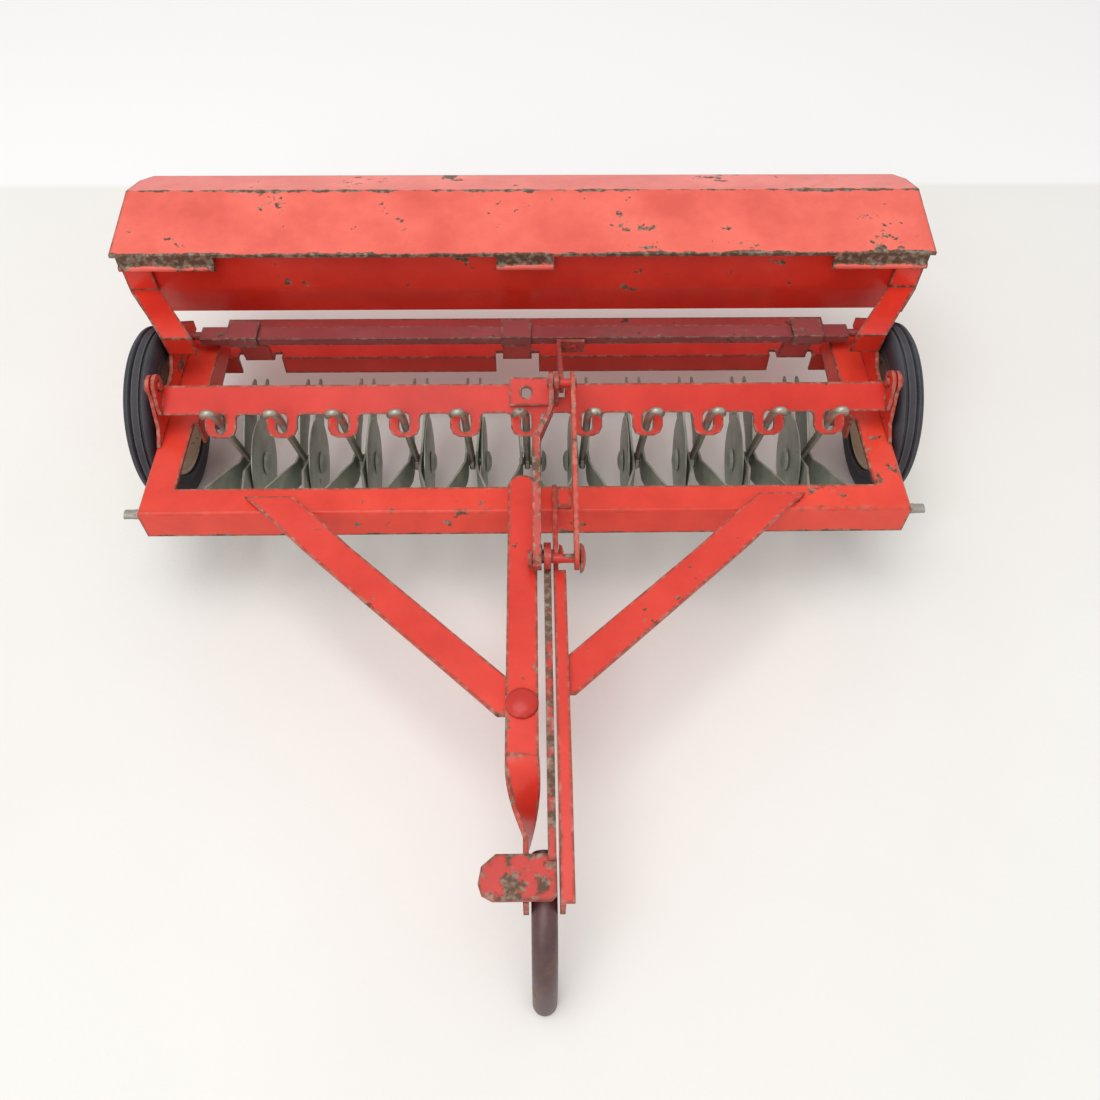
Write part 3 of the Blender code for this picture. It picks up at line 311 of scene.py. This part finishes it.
# ---------------------------------------------------------------- opener arms
# Each arm is a pair of thin pressed plates: apart at the rod, together at the hub, and with two rear fins.
# They are dull grey-green with bright rubbed edges, and a flat rivet head holds the disc.
units = ["%02d" % number for number in range(1, 12)]
opener_grey = Finish("opener grey")
cloud = opener_grey.noise(150.0, 5.0, 0.6)
speck = opener_grey.noise(800.0, 3.0)
rub = ((opener_grey.edge(0.0005) * 4.0 + (speck - 0.5) * 2.0 - 0.8) * 4.0).clamped()
grey = opener_grey.mix(((cloud - 0.3) * 2.3).clamped(), (0.215, 0.240, 0.195, 1.0),
                       (0.420, 0.450, 0.375, 1.0))
grime = ((opener_grey.noise(60.0, 6.0, 0.7) - 0.55) * 4.0).clamped()
grey = opener_grey.mix(grime * 0.6, grey, (0.085, 0.080, 0.062, 1.0))
opener_grey.set("Base Color", opener_grey.mix(rub * 0.6, grey, (0.42, 0.42, 0.36, 1.0)))
opener_grey.set("Roughness", 0.46 + (cloud - 0.5) * 0.3 + grime * 0.2)
opener_grey.set("Metallic", 0.2)
opener_grey.bump(speck * 0.4 + cloud * 0.6, 0.00008, 0.5)
for unit in units:
    arm = own_mesh("opener_arm_" + unit, 0.10, 2, 32.0)
    give(arm, opener_grey.material)
    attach(arm, "opener_" + unit)

# ---------------------------------------------------------------- opener discs
# Flat steel discs, thinned to a blunt edge all round.
# Each turns on the rivet of its arm, and is the same dull grey-green as the arm.
disc_r, disc_thick = 13.8, 0.9


def turned(name, outline, axle, steps=64):
    """A closed (x, radius) outline in millimetres spun round a line along X through axle, in metres."""
    bpy.ops.mesh.primitive_circle_add(vertices=len(outline), radius=0.001)
    piece = bpy.context.active_object
    piece.name = name
    for vert, (x, radius) in zip(piece.data.vertices, outline):
        vert.co = (axle[0] + x * MM, axle[1], axle[2] + radius * MM)
    bpy.ops.object.mode_set(mode="EDIT")
    bpy.ops.mesh.select_all(action="SELECT")
    bpy.ops.mesh.spin(steps=steps, angle=2.0 * math.pi, center=axle, axis=(1.0, 0.0, 0.0))
    bpy.ops.mesh.select_all(action="SELECT")
    bpy.ops.mesh.remove_doubles(threshold=0.000002)
    bpy.ops.mesh.normals_make_consistent(inside=False)
    bpy.ops.object.mode_set(mode="OBJECT")
    settle(piece)
    return piece


disc_steel = bare_metal("disc steel", (0.33, 0.36, 0.30), (0.13, 0.115, 0.085), 0.30, 0.44, 0.25)
for unit in units:
    low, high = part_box("opener_disc_" + unit)
    hub = ((low[0] + high[0]) / 2.0, (low[1] + high[1]) / 2.0, (low[2] + high[2]) / 2.0)
    half = disc_thick / 2.0
    disc = turned("opener_disc_%s_piece" % unit,
                  [(-half, 1.5), (-half, disc_r - 1.9), (-half + 0.12, disc_r - 1.2), (-0.12, disc_r),
                   (0.12, disc_r), (half - 0.12, disc_r - 1.2), (half, disc_r - 1.9), (half, 1.5)], hub, 72)
    give(disc, disc_steel)
    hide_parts("opener_disc_" + unit)
    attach(disc, "disc_" + unit)

# ---------------------------------------------------------------- hanger wires
# Soft steel wire: an eye squeezed round the hub rivet, then straight up through the bar's slot.
# Its top is bent over sideways, and it thins a little at both ends.
wire_r = 1.1
pitch = 16.95
hub_y, hub_z = -10.0, 14.6
run = Vector((-0.3486, 0.9373))
hook_line = [(0.0, 2.0), (0.0, 3.0), (0.0, 14.0), (0.0, 28.0), (0.0, 33.8), (0.2, 35.8), (1.0, 37.2),
             (2.2, 37.2), (3.0, 36.4), (3.3, 35.2)]
wire_steel = bare_metal("wire steel", (0.34, 0.315, 0.255), (0.13, 0.095, 0.06), 0.45, 0.36, 0.7)


def drawn_wire(name, points, radius, ends=1.0):
    """A round wire through points in metres, made from a curve and turned into a mesh with closed ends."""
    bpy.ops.object.select_all(action="DESELECT")
    curve = bpy.data.curves.new(name, "CURVE")
    curve.dimensions = "3D"
    curve.bevel_depth = radius
    curve.bevel_resolution = 5
    curve.use_fill_caps = True
    curve.resolution_u = 5
    line = curve.splines.new("NURBS")
    line.points.add(len(points) - 1)
    for point, place in zip(line.points, points):
        point.co = (*place, 1.0)
    line.points[-1].radius = ends
    line.points[0].radius = ends
    line.use_endpoint_u = True
    line.order_u = 3
    piece = bpy.data.objects.new(name, curve)
    bpy.context.scene.collection.objects.link(piece)
    piece.select_set(True)
    bpy.context.view_layer.objects.active = piece
    bpy.ops.object.convert(target="MESH")
    piece = bpy.context.active_object
    bpy.ops.object.mode_set(mode="EDIT")
    bpy.ops.mesh.select_all(action="SELECT")
    bpy.ops.mesh.remove_doubles(threshold=0.000002)
    bpy.ops.mesh.normals_make_consistent(inside=False)
    bpy.ops.object.mode_set(mode="OBJECT")
    settle(piece)
    return piece


def joined(name, pieces):
    """Several closed shapes as one object."""
    bpy.ops.object.select_all(action="DESELECT")
    for piece in pieces:
        piece.select_set(True)
    bpy.context.view_layer.objects.active = pieces[0]
    bpy.ops.object.join()
    pieces[0].name = name
    pieces[0].select_set(False)
    return pieces[0]


for number, unit in enumerate(units, 1):
    x = (number - 6) * pitch
    side = -1.0 if number <= 6 else 1.0
    points = [((x + side * across) * MM, (hub_y + along * run[0]) * MM + back, (hub_z + along * run[1]) * MM)
              for across, along in hook_line]
    stem = drawn_wire("hanger_%s_stem" % unit, points, wire_r * MM, 0.86)
    eye = turned("hanger_%s_eye" % unit, [(-0.5, 1.52), (-0.85, 1.8), (-0.85, 2.2), (-0.5, 2.55), (0.5, 2.55),
                                          (0.85, 2.2), (0.85, 1.8), (0.5, 1.52)],
                 (x * MM, hub_y * MM + back, hub_z * MM), 28)
    hanger = joined("hanger_%s_piece" % unit, [stem, eye])
    give(hanger, wire_steel)
    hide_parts("hanger_" + unit)
    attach(hanger, "wire_" + unit)

# ---------------------------------------------------------------- lift bar and bracket
# The notched bar that lifts the openers: sheet with round-cornered tabs, each slotted for its wire.
# A small bracket riveted at its middle carries the linkage. Wires have rubbed the paint round the slots.
bar_red = red_paint("lift bar red", wear=0.62, chips=0.38, red=(0.68, 0.026, 0.014), seed=0.3)
lift_bar = own_mesh("lift_bar", 0.16, 3, 32.0)
give(lift_bar, bar_red)
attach(lift_bar, "bar")
bar_bracket = own_mesh("bar_bracket", 0.16, 3, 32.0)
give(bar_bracket, red_paint("bracket red", wear=0.95, chips=0.45, red=(0.66, 0.028, 0.018), seed=0.6))
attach(bar_bracket, "bar")

# ---------------------------------------------------------------- rear cross bar and its arm
# A flat bar across the back of the frame, scuffed and dusty; its dark purplish red is partly painted shade
# from the hopper above.
# A flat arm from its middle holds the centre of the lift bar; its dull dark red is partly painted shade.
# Dark purplish red: the bar's own colour, darkened with painted shade from under the hopper.
tube_red_with_painted_shade = red_paint("rear tube red and painted shade", wear=0.55, chips=0.55, red=(0.30, 0.050, 0.052), dull=0.75, seed=0.9)
cross_tube = own_mesh("cross_tube", 0.45, 4, 32.0)
give(cross_tube, tube_red_with_painted_shade)
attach(cross_tube, "frame")
support_arm = own_mesh("support_arm", 0.18, 3, 32.0)
# Dull dark red here: partly painted shade from under the hopper.
give(support_arm, red_paint("support red and painted shade", wear=0.45, chips=0.40, red=(0.48, 0.040, 0.036), dull=0.45,
                            seed=1.3))
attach(support_arm, "frame")

# ---------------------------------------------------------------- foot board
# A narrow channel behind the cross bar, hung from it by three straps folded out of its own front edge.
# Above a set height the straps take the dark purplish red of the bar that they lie on, partly painted shade
# under the hopper.
# Above 36.2 mm the straps get a dark purplish red that is partly painted shade.
board_red = red_paint("foot board red", wear=0.7, chips=0.40, red=(0.70, 0.036, 0.024), dull=0.25, seed=1.7,
                      tint_and_shade_above=(0.0362, (0.27, 0.060, 0.060)))
footboard = own_mesh("footboard", 0.18, 3, 32.0)
give(footboard, board_red)
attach(footboard, "frame")

# ---------------------------------------------------------------- hopper
# A trough of bent sheet between two end walls.
# Each end wall runs on as a folded strap over the tyre to the frame.
# The inside and underside kept their paint; the folds and the ends of the straps are worn.
hopper_red = red_paint("hopper red", wear=0.45, chips=0.50, red=(0.74, 0.030, 0.016), seed=2.1)
hopper = own_mesh("hopper_body", 0.22, 3, 25.0, folds=[
    (lambda p: abs(p.x) < 0.2 and p.z < 0.0495 and p.z > 0.0485, 1.2, 5)])
give(hopper, hopper_red)
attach(hopper, "frame")
for side, seed in (("left", 2.6), ("right", 3.3)):
    wall = own_mesh("end_plate_" + side, 0.20, 3, 28.0)
    give(wall, red_paint("end wall red " + side, wear=0.85, chips=0.42, red=(0.76, 0.034, 0.018), seed=seed))
    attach(wall, "frame")

# ---------------------------------------------------------------- lid
# One sheet with a ridge bent along it and three tongues folded down in front.
# The tongues hook under the hopper's rim, and the lid swings on them.
# The paint is worn brown along the ridge, the front fold and the tongues.
lid = own_mesh("lid", 0.22, 3, 20.0)
ridge_y, lid_front_y, tongue_z = 0.0533 + back, 0.0270 + back, 0.0610
lid_red = red_paint("lid red", wear=0.60, chips=0.58, red=(0.88, 0.120, 0.086), seed=4.1,
                    lines=[("Y", ridge_y, 0.0024, 1.5), ("Y", lid_front_y, 0.0020, 1.6),
                           ("Z", tongue_z, 0.0030, 0.75)])
give(lid, lid_red)
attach(lid, "lid_body")

# ---------------------------------------------------------------- wheels
# Moulded black rubber tyres with three ribs, gone dusty and bluish, on dished wheels painted cream.
# Each turns on a headed steel stub through both flanges of the frame.
tyre_rubber = Finish("tyre rubber")
dust = ((tyre_rubber.noise(110.0, 6.0, 0.68) - 0.47) * 3.4).clamped()
grain = tyre_rubber.noise(1900.0, 3.0)
crown = (tyre_rubber.edge(0.0009) * 5.0 + (grain - 0.5) * 1.4 - 0.3).clamped()
black = tyre_rubber.mix(dust * 0.55, (0.022, 0.022, 0.030, 1.0), (0.085, 0.082, 0.095, 1.0))
tyre_rubber.set("Base Color", tyre_rubber.mix(crown * 0.7, black, (0.16, 0.15, 0.15, 1.0)))
tyre_rubber.set("Roughness", 0.62 + dust * 0.25 - crown * 0.05)
tyre_rubber.bump(grain, 0.00016, 0.7)

cream = Finish("wheel cream")
stain = ((cream.noise(140.0, 6.0, 0.7) + cream.edge(0.0010) * 1.2 - 0.62) * 4.0).clamped()
patch = ((cream.noise(420.0, 4.0) - 0.62) * 14.0).clamped()
ivory = cream.mix(stain * 0.7, (0.66, 0.585, 0.42, 1.0), (0.30, 0.205, 0.125, 1.0))
cream.set("Base Color", cream.mix(patch * 0.75, ivory, (0.13, 0.085, 0.06, 1.0)))
cream.set("Roughness", 0.42 + stain * 0.25)
cream.bump(cream.noise(1100.0, 3.0) - patch, 0.00008, 0.5)

axle_z = 0.0262
half_tyre = 3.95
tread = [(-half_tyre, 18.95), (half_tyre, 18.95),
         (half_tyre, 20.2), (half_tyre - 0.35, 20.7), (half_tyre - 0.05, 21.4), (half_tyre, 22.6),
         (half_tyre - 0.12, 24.0), (half_tyre - 0.5, 25.2), (half_tyre - 1.15, 25.95),
         (half_tyre - 1.9, 26.12), (half_tyre - 2.35, 25.75), (half_tyre - 2.5, 25.1),
         (half_tyre - 2.85, 25.1), (half_tyre - 3.0, 25.95)]
tread += [(-x, r) for x, r in tread[:1:-1]]
dish = [(-3.05, 18.55), (3.05, 18.55), (3.05, 17.2), (2.6, 16.9), (1.4, 16.7), (0.8, 16.0), (0.75, 9.0),
        (0.8, 5.6), (1.3, 4.9), (2.25, 4.5), (2.3, 3.9), (2.3, 2.35), (-2.9, 2.35), (-2.9, 4.8), (-1.2, 5.6),
        (-0.62, 6.6), (-0.62, 15.2), (-1.2, 16.3), (-2.4, 16.9), (-3.05, 17.2)]
for side, facing in (("left", -1.0), ("right", 1.0)):
    axle = (facing * 0.10845, back, axle_z)
    tyre = turned("tyre_%s_piece" % side, [(facing * x, r) for x, r in tread], axle, 128)
    give(tyre, tyre_rubber.material)
    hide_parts("tyre_" + side)
    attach(tyre, "wheel_" + side)
    rim = turned("rim_%s_piece" % side, [(facing * x, r) for x, r in dish], axle, 96)
    give(rim, cream.material)
    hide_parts("rim_" + side)
    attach(rim, "wheel_" + side)
    stub = own_mesh("axle_stub_" + side, 0.14, 3, 30.0)
    give(stub, steel)
    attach(stub, "frame")

# ---------------------------------------------------------------- tongue
# Two flat bars: the left one lies on the frame and twists upright at the front, the right one stands on edge.
# Two flat braces run from the corners of the frame, and one big rivet ties the left bar and brace.
tongue_red = red_paint("tongue red", wear=1.0, chips=0.56, red=(0.74, 0.040, 0.024), seed=5.2)
for name, fold, smooth in (("left_drawbar", 0.16, 60.0), ("right_drawbar", 0.16, 38.0),
                           ("left_brace", 0.18, 45.0), ("right_brace", 0.18, 45.0)):
    bar = own_mesh(name, fold, 3, 50.0 if name == "left_drawbar" else 25.0, smooth=smooth)
    give(bar, tongue_red)
    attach(bar, "frame")
rivet_x, rivet_y, rivet_z = -0.0011, -0.1054 + back, 0.0392
rivet_r, shank_r, shank_long = 0.0039, 0.0012, 0.0048
bpy.ops.mesh.primitive_uv_sphere_add(segments=40, ring_count=24, radius=rivet_r,
                                     location=(rivet_x, rivet_y, rivet_z))
head = bpy.context.active_object
head.scale.z = 0.43
settle(head)
head.select_set(True)
bpy.ops.object.mode_set(mode="EDIT")
bpy.ops.mesh.select_all(action="SELECT")
bpy.ops.mesh.bisect(plane_co=(0.0, 0.0, rivet_z), plane_no=(0.0, 0.0, 1.0), clear_inner=True, use_fill=True)
bpy.ops.object.mode_set(mode="OBJECT")
bpy.ops.mesh.primitive_cylinder_add(vertices=24, radius=shank_r, depth=shank_long,
                                    location=(rivet_x, rivet_y, rivet_z - 0.0023))
shank = bpy.context.active_object
settle(shank)
rivet = joined("drawbar_rivet_piece", [head, shank])
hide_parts("drawbar_rivet")
give(rivet, red_paint("rivet red", wear=0.45, chips=0.45, red=(0.60, 0.028, 0.020), seed=6.0))
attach(rivet, "frame")
pivot = own_mesh("lever_pivot", 0.16, 3, 28.0)
give(pivot, tongue_red)
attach(pivot, "frame")

# ---------------------------------------------------------------- hitch hook
# A thick round bar held between the two bars of the tongue and bent down to a blunt, hammered tip.
# It has lost its paint and gone a dark, purplish brown.
hook = own_mesh("hitch_hook", 0.5, 4, 40.0)
bpy.ops.object.select_all(action="DESELECT")
hook.select_set(True)
bpy.context.view_layer.objects.active = hook
smoother = hook.modifiers.new("hammering", "SUBSURF")
smoother.levels = smoother.render_levels = 1
bpy.ops.object.modifier_apply(modifier="hammering")
hook.select_set(False)
dark = bare_metal("dark iron", (0.105, 0.060, 0.058), (0.16, 0.085, 0.055), 0.55, 0.42, 0.55)
give(hook, dark)
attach(hook, "frame")

# ---------------------------------------------------------------- lift lever and links
# A flat lever on edge beside the tongue, with a thumb pad at the front.
# Two links join it to the bar's bracket. Its top edge and the centre link's are worn to rusty brown steel.
lever_red = red_paint("lever red", wear=1.0, chips=0.55, red=(0.60, 0.032, 0.024), top_wear=0.46, seed=7.0)
link_red = red_paint("link red", wear=0.72, chips=0.50, seed=7.7)
for name, body, material, fold in (("lift_lever", "lever", lever_red, 0.22),
                                   ("long_link", "link", link_red, 0.25),
                                   ("centre_link", "link", lever_red, 0.22)):
    flat = own_mesh(name, fold, 3, 28.0)
    give(flat, material)
    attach(flat, body)

# ---------------------------------------------------------------- cloth and light
# The drill stands on a smooth off-white cloth under broad soft light; the cloth turns whiter behind it, in
# place of a white wall.
cloth = Finish("off-white cloth")
weave = cloth.noise(700.0, 2.0)
sway = cloth.noise(9.0, 3.0)
beyond = ((cloth.node("ShaderNodeSeparateXYZ", {}, cloth.place, out="Y") - 0.205) * 260.0).clamped()
spread = cloth.mix(((sway - 0.3) * 2.0).clamped(), (0.835, 0.824, 0.797, 1.0), (0.875, 0.866, 0.842, 1.0))
cloth.set("Base Color", cloth.mix(beyond, spread, (0.93, 0.93, 0.93, 1.0)))
cloth.set("Roughness", 0.95)
cloth.shader.inputs["Specular IOR Level"].default_value = 0.1
cloth.bump(weave * 0.5 + sway * 4.0, 0.0003, 0.35)
bpy.ops.mesh.primitive_grid_add(x_subdivisions=24, y_subdivisions=24, size=1.0, location=(0.0, 0.0, -0.0001))
floor = bpy.context.active_object
floor.name = "cloth"
for vert in floor.data.vertices:
    vert.co.x *= 4.0
    vert.co.y = vert.co.y * 2.2 - 0.55
give(floor, cloth.material)

world = bpy.data.worlds.new("studio")
bpy.context.scene.world = world
world.use_nodes = True
tree = world.node_tree
tree.nodes.clear()
output = tree.nodes.new("ShaderNodeOutputWorld")
lit = tree.nodes.new("ShaderNodeBackground")
lit.inputs["Color"].default_value = (1.0, 0.99, 0.97, 1.0)
lit.inputs["Strength"].default_value = 0.62
seen = tree.nodes.new("ShaderNodeBackground")
seen.inputs["Color"].default_value = (1.0, 1.0, 1.0, 1.0)
seen.inputs["Strength"].default_value = 0.97
ray = tree.nodes.new("ShaderNodeLightPath")
either = tree.nodes.new("ShaderNodeMath")
either.operation = "MAXIMUM"
chosen = tree.nodes.new("ShaderNodeMixShader")
tree.links.new(ray.outputs["Is Camera Ray"], either.inputs[0])
tree.links.new(ray.outputs["Is Glossy Ray"], either.inputs[1])
tree.links.new(either.outputs[0], chosen.inputs[0])
tree.links.new(lit.outputs[0], chosen.inputs[1])
tree.links.new(seen.outputs[0], chosen.inputs[2])
tree.links.new(chosen.outputs[0], output.inputs["Surface"])


def soft_lamp(name, place, size, power):
    """A square lamp aimed at the drill."""
    lamp = bpy.data.lights.new(name, "AREA")
    lamp.shape = "SQUARE"
    lamp.size = size
    lamp.energy = power
    holder = bpy.data.objects.new(name, lamp)
    bpy.context.scene.collection.objects.link(holder)
    holder.location = place
    holder.rotation_euler = (Vector((0.0, 0.0, 0.03)) - Vector(place)).to_track_quat("-Z", "Y").to_euler()


soft_lamp("overhead", (-0.15, -0.15, 1.1), 0.9, 6.4)
soft_lamp("front fill", (-0.5, -0.9, 0.7), 0.8, 2.5)

yaw, pitch_down, roll = (math.radians(a) for a in (1.46, 53.94, 0.7))
ahead = Vector((math.sin(yaw) * math.cos(pitch_down), math.cos(yaw) * math.cos(pitch_down),
                -math.sin(pitch_down)))
level = Vector((math.cos(yaw), -math.sin(yaw), 0.0))
above = level.cross(ahead)
right = level * math.cos(roll) + above * math.sin(roll)
upward = above * math.cos(roll) - level * math.sin(roll)
view = bpy.data.cameras.new("view")
view.sensor_width = 36.0
view.lens = 30.97
view.clip_start = 0.01
camera = bpy.data.objects.new("view", view)
bpy.context.scene.collection.objects.link(camera)
turn = Matrix((right, upward, -ahead)).transposed().to_4x4()
camera.matrix_world = Matrix.Translation((0.00238, -0.20484 + back, 0.23541)) @ turn
bpy.context.scene.camera = camera
bpy.context.scene.view_settings.view_transform = "Standard"
